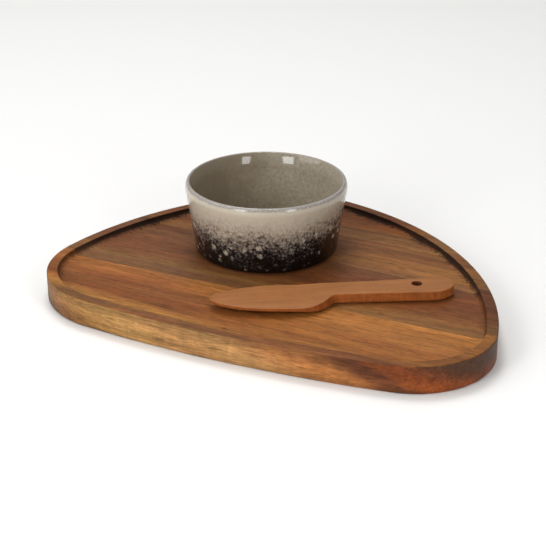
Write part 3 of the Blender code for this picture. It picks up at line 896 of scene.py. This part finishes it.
def reactive_glaze(center):
    """Reactive stoneware glaze, sprayed black from the foot and cream from the lip: a broken,
    speckled edge between them, which painted shade lifts on the side away from the light, a thin grey
    band of painted reflection on the lip and a mottled taupe inside, browner and with painted shade on
    one side and by depth, all under a wet gloss.
    """
    material, add, shader = new_material("reactive_stoneware_glaze")
    spot = add("TexCoord").outputs["Object"]
    base = (center.x, center.y, POCKET_FLOOR)
    local = add("VectorMath", (spot, base), "SUBTRACT")
    axes = add("SeparateXYZ", (local,)).outputs
    height = BOWL_BOX[1].z - BOWL_BOX[0].z
    share = add("Math", (axes["Z"], 1 / height), "MULTIPLY")

    # The sprayed black thins out upwards through clouds, a net of soft cells and dust.
    clouds = drawn_noise(add, local, 16, 16, 2.0)
    grains = drawn_noise(add, local, 3.2, 3.2, 3.0, 0.6)
    dust = drawn_noise(add, local, 1.0, 1.0, 2.0)
    ruffle = add("VectorMath", (dust.outputs["Color"], (1.4 * MM,) * 3, local), "MULTIPLY_ADD")
    net = add("TexVoronoi", {"Vector": ruffle, "Scale": 1 / (2.0 * MM)}, feature="F1")
    broken = 0.0
    for pattern, amount in ((clouds, 0.30), (grains, 0.44), (dust, 0.32), (net.outputs["Distance"], -0.32)):
        term = add("Math", (pattern, amount, -amount / 2), "MULTIPLY_ADD")
        broken = add("Math", (broken, term))
    calm = add("MapRange", (share, 0.55, 0.92, 1.0, 0.2))
    sideways = add("VectorMath", (local, LIGHT_SIDE), "DOT_PRODUCT")
    # Painted shade: the black reaches higher on the side away from the light.
    side_shade = add("MapRange", (sideways, -15 * MM, -58 * MM, 0.0, -0.15))
    level = add("Math", (share, side_shade))
    edge = add("Math", (broken, calm, level), "MULTIPLY_ADD")

    # A few bigger cream drops lie whole in the black.
    cells = add("TexVoronoi", {"Vector": ruffle, "Scale": 1 / (5.2 * MM), "Randomness": 1.0})
    drops = add("MapRange", (cells.outputs["Distance"], 0.62, 0.10))
    chance = add("SeparateColor", (cells.outputs["Color"],))
    kept = add("MapRange", (chance, 0.55, 1.0, 0.0, 0.50))
    low_down = add("MapRange", (share, 0.62, 0.40))
    sunk = add("Math", (kept, low_down), "MULTIPLY")
    dropped = add("Math", (drops, sunk, edge), "MULTIPLY_ADD")
    speckled = add(
        "ValToRGB", (dropped,),
        stops=[
            (0.05, "#020203"), (0.17, "#060607"), (0.27, "#171517"), (0.35, "#383433"),
            (0.43, "#605750"), (0.52, "#857B70"), (0.62, "#A39786"), (0.72, "#B4AA99"),
            (0.84, "#BEB5A3"), (1.0, "#C6BDA9"),
        ],
    )

    # Inside: mottled taupe, browner on one side, where painted shade also darkens it.
    mottle = drawn_noise(add, local, 2.2, 2.2, 3.0, 0.6)
    cloud = drawn_noise(add, local, 20, 20, 3.0)
    brown_place = add("Math", (cloud, 75 * MM, sideways), "MULTIPLY_ADD")
    brown = add("MapRange", (brown_place, 14 * MM, 78 * MM, 0.0, 0.85), **SMOOTH)
    taupe = add("ValToRGB", (mottle,), stops=[(0.25, "#8A7F6D"), (0.5, "#9C9280"), (0.75, "#ACA391")])
    browned_and_shaded = add("Mix", (brown, taupe, linear("#7E705C")), data_type="RGBA")
    from_lip = add("Attribute", attribute_name="from_lip").outputs["Fac"]
    # Painted light and shade by depth: a touch darker just under the lip, full tone further down.
    depth_shading = add("MapRange", (from_lip, 1 * MM, 40 * MM, 0.94, 1.0))
    inside = add("VectorMath", (browned_and_shaded, depth_shading), "SCALE")

    # Painted reflection: a grey band over the lip stands in for the grey room reflected in the glaze.
    inner = add("MapRange", (from_lip, -0.5 * MM, 1 * MM))
    walls = add("Mix", (inner, speckled, inside), data_type="RGBA")
    from_crest = add("Math", (from_lip, 1.3 * MM))
    near = add("Math", (from_crest,), "ABSOLUTE")
    ragged = add("Math", (grains, 1.2 * MM, near), "MULTIPLY_ADD")
    lip = add("MapRange", (ragged, 3.1 * MM, 1.7 * MM, 0.0, 0.85), **SMOOTH)
    lip_reflection_gray = add("ValToRGB", (dust,), stops=[(0.3, "#7A7371"), (0.5, "#96908D"), (0.7, "#ABA5A1")])
    glaze = add("Mix", (lip, walls, lip_reflection_gray), data_type="RGBA")

    wet = add("Math", (grains, 0.06, 0.03), "MULTIPLY_ADD")
    pitted = add("Math", (dust, 0.25, grains), "MULTIPLY_ADD")
    bump = add("Bump", {"Height": pitted, "Strength": 0.09, "Distance": 0.15 * MM})
    fill(shader, {"Base Color": glaze, "Roughness": wet, "Normal": bump})
    fill(shader, {"IOR": 1.52, "Specular IOR Level": 0.42})
    return material


def bare_stoneware(bowl):
    """Bare stoneware clay on the foot ring, wiped clean of glaze: buff, dry and slightly gritty."""
    material, add, shader = new_material("bare_stoneware_clay")
    spot = add("TexCoord").outputs["Object"]
    grit = drawn_noise(add, spot, 0.7, 0.7, 3.0)
    tone = add("Math", (grit, 0.5, 0.75), "MULTIPLY_ADD")
    clay = add("VectorMath", (bowl.clay[:3], tone), "SCALE")
    bump = add("Bump", {"Height": grit, "Strength": 0.5, "Distance": 0.1 * MM})
    fill(shader, {"Base Color": clay, "Roughness": 0.85, "Normal": bump})
    return material


def oiled_spreader(s):
    """Fine-grained reddish fruitwood, sanded and oiled: a calm pinkish face with faint streaks,
    and redder edges that show the cutter's upright lines.
    """
    material, add, shader = new_material("oiled_fruitwood")
    spot = add("TexCoord").outputs["Object"]
    local = add(
        "Mapping",
        {
            "Vector": spot, "Location": (s.neck_x, s.neck_y, POCKET_FLOOR),
            "Rotation": (0.0, 0.0, s.turn),
        },
        vector_type="TEXTURE",
    )
    broad = drawn_noise(add, local, 60, 5, 2.0)
    fine = drawn_noise(add, local, 22, 0.9, 3.0, 0.6)
    pores = drawn_noise(add, local, 3, 0.6, 1.0)
    banding = drawn_noise(add, local, 11, 40, 1.0)
    upright = drawn_noise(add, local, 2.6, 9, 4.0, 0.65)
    normal = add("SeparateXYZ", (add("NewGeometry").outputs["Normal"],)).outputs
    flatness = add("Math", (normal["Z"],), "ABSOLUTE")
    edge = add("MapRange", (flatness, 0.8, 0.35))
    wood = add("Mix", (edge, s.top_wood, s.side_wood), data_type="RGBA")
    tone = 1.0
    for pattern, amount in ((broad, 0.5), (fine, 0.75), (banding, 0.16)):
        tone = varied(add, tone, pattern, amount)
    lines = add("Math", (upright, 1.1, 0.42), "MULTIPLY_ADD")
    lined = add("Mix", (edge, 1.0, lines))
    tone = add("Math", (tone, lined), "MULTIPLY")
    toned = add("VectorMath", (wood, tone), "SCALE")
    pore_share = add("MapRange", (pores, 0.62, 0.8, 0.0, 0.3))
    pored = add("Mix", (pore_share, toned, linear("#5A2C16")), data_type="RGBA")

    # Painted shade on the wall of the hanging hole, dark in its recess.
    hole_center = (s.handle_length - s.hole_from_end, s.hole_y, 0.0)
    flat = add("VectorMath", (local, (1.0, 1.0, 0.0)), "MULTIPLY")
    from_hole = add("VectorMath", (flat, hole_center), "DISTANCE")
    hole_shade = add("MapRange", (from_hole, s.hole / 2 + 0.5 * MM, s.hole / 2, 0.0, 0.8))
    # The face wood with the hole's painted shade mixed in.
    burnt = add("Mix", (hole_shade, pored, linear("#2A150C")), data_type="RGBA")
    gloss = add("Math", (fine, 0.18, 0.42), "MULTIPLY_ADD")
    bump = add("Bump", {"Height": fine, "Strength": 0.25, "Distance": 0.08 * MM})
    fill(shader, {"Base Color": burnt, "Roughness": gloss, "Normal": bump})
    fill(shader, {"IOR": 1.45, "Specular IOR Level": 0.20})
    return material


def studio_floor(stage):
    """Matt painted studio floor: pale, even and without gloss."""
    material, _, shader = new_material("pale_studio_floor")
    fill(shader, {"Base Color": stage.floor, "Roughness": 0.7, "Specular IOR Level": 0.2})
    return material


# ---- Stage ----

CAMERA_PLACE = (0.4111, -0.9047, 0.4767)
FLOOR_RADIUS = 14.0


def softbox(name, azimuth, elevation, distance, size, power, target):
    """A rectangular light that faces the target from that direction, unseen by the camera."""
    data = bpy.data.lights.new(name, "AREA")
    data.shape = "RECTANGLE"
    data.size, data.size_y = size
    data.energy = power
    light = bpy.data.objects.new(name, data)
    back = Vector((sin(azimuth) * cos(elevation), -cos(azimuth) * cos(elevation), sin(elevation)))
    light.location = target + back * distance
    light.rotation_euler = (-back).to_track_quat("-Z", "Y").to_euler()
    light.visible_camera = False
    bpy.context.scene.collection.objects.link(light)


def make_stage(stage):
    """The camera, the lights, the room's fill light and a round floor."""
    scene = bpy.context.scene
    scene.view_settings.view_transform = "Standard"
    camera_data = bpy.data.cameras.new("camera")
    camera_data.lens = stage.lens
    camera_data.sensor_width = 36.0
    camera_data.clip_start, camera_data.clip_end = 0.05, 60.0
    camera = bpy.data.objects.new("camera", camera_data)
    camera.location = CAMERA_PLACE
    camera.rotation_euler = (pi / 2 - stage.pitch, 0.0, stage.heading)
    scene.collection.objects.link(camera)
    scene.camera = camera

    target = (BOWL_BOX[0] + BOWL_BOX[1]) / 2
    lamps = (  # name, degrees round from the camera, degrees up, distance, size, power
        ("left_softbox", -36, 23, 1.25, (0.36, 0.52), stage.left_power),
        ("right_softbox", 34, 23, 1.25, (0.28, 0.52), stage.right_power),
        ("key_light", -75, 38, 2.2, (1.4, 1.4), stage.key_power),
        ("overhead_softbox", 195, 72, 1.7, (0.6, 0.6), stage.overhead_power),
        ("ceiling_light", 180, 66, 3.6, (6.0, 6.0), stage.ceiling_power),
    )
    for name, turn, elevation, distance, size, power in lamps:
        azimuth = stage.heading + radians(turn)
        softbox(name, azimuth, radians(elevation), distance, size, power, target)

    world = bpy.data.worlds.new("studio")
    world.use_nodes = True
    background = world.node_tree.nodes["Background"]
    background.inputs["Color"].default_value = linear("#F4F6F8")
    background.inputs["Strength"].default_value = stage.fill
    scene.world = world

    turns = np.linspace(0.0, tau, 65)
    rim = np.stack([FLOOR_RADIUS * np.cos(turns), FLOOR_RADIUS * np.sin(turns), 0 * turns], -1)[:-1]
    mesh = bpy.data.meshes.new("studio_floor")
    mesh.from_pydata(rim, [], [range(len(rim))])
    mesh.materials.append(studio_floor(stage))
    floor = bpy.data.objects.new("studio_floor", mesh)
    scene.collection.objects.link(floor)


# ---- Operators, panel and running ----


class SERVER_OT_make_stage(Operator):
    """Sets up the camera, the softboxes and the pale floor"""

    bl_idname = "server.make_stage"
    bl_label = "Make Stage"

    def execute(self, context):
        make_stage(context.scene.server_stage)
        return {"FINISHED"}


class SERVER_OT_make_staves(Operator):
    """Builds the tray's four acacia staves"""

    bl_idname = "server.make_staves"
    bl_label = "Make Tray Staves"

    def execute(self, context):
        make_staves(context.scene.server_tray)
        return {"FINISHED"}


class SERVER_OT_make_bowl(Operator):
    """Builds the glazed dip bowl"""

    bl_idname = "server.make_bowl"
    bl_label = "Make Dip Bowl"

    def execute(self, context):
        make_bowl(context.scene.server_bowl)
        return {"FINISHED"}


class SERVER_OT_make_spreader(Operator):
    """Builds the wooden spreader"""

    bl_idname = "server.make_spreader"
    bl_label = "Make Spreader"

    def execute(self, context):
        make_spreader(context.scene.server_spreader)
        return {"FINISHED"}


class SERVER_PT_panel(Panel):
    """Lists the server's pieces and their sizes"""

    bl_idname = "SERVER_PT_panel"
    bl_label = "Chip and Dip Server"
    bl_space_type = "VIEW_3D"
    bl_region_type = "UI"
    bl_category = "Server"

    def draw(self, context):
        for operator, group in STEPS:
            box = self.layout.box()
            box.operator(operator.bl_idname)
            settings = getattr(context.scene, group)
            for name in settings.bl_rna.properties.keys():
                if name not in ("rna_type", "name"):
                    box.prop(settings, name)


STEPS = (
    (SERVER_OT_make_stage, "server_stage"),
    (SERVER_OT_make_staves, "server_tray"),
    (SERVER_OT_make_bowl, "server_bowl"),
    (SERVER_OT_make_spreader, "server_spreader"),
)
GROUPS = {
    "server_stage": StageProperties,
    "server_tray": TrayProperties,
    "server_bowl": BowlProperties,
    "server_spreader": SpreaderProperties,
}
CLASSES = (*GROUPS.values(), *(operator for operator, group in STEPS), SERVER_PT_panel)


def register():
    for cls in CLASSES:
        bpy.utils.register_class(cls)
    for name, group in GROUPS.items():
        setattr(bpy.types.Scene, name, PointerProperty(type=group))


def unregister():
    for name in GROUPS:
        delattr(bpy.types.Scene, name)
    for cls in reversed(CLASSES):
        bpy.utils.unregister_class(cls)


def main():
    register()
    bpy.ops.server.make_stage()
    bpy.ops.server.make_staves()
    bpy.ops.server.make_bowl()
    bpy.ops.server.make_spreader()


if __name__ == "__main__":
    main()
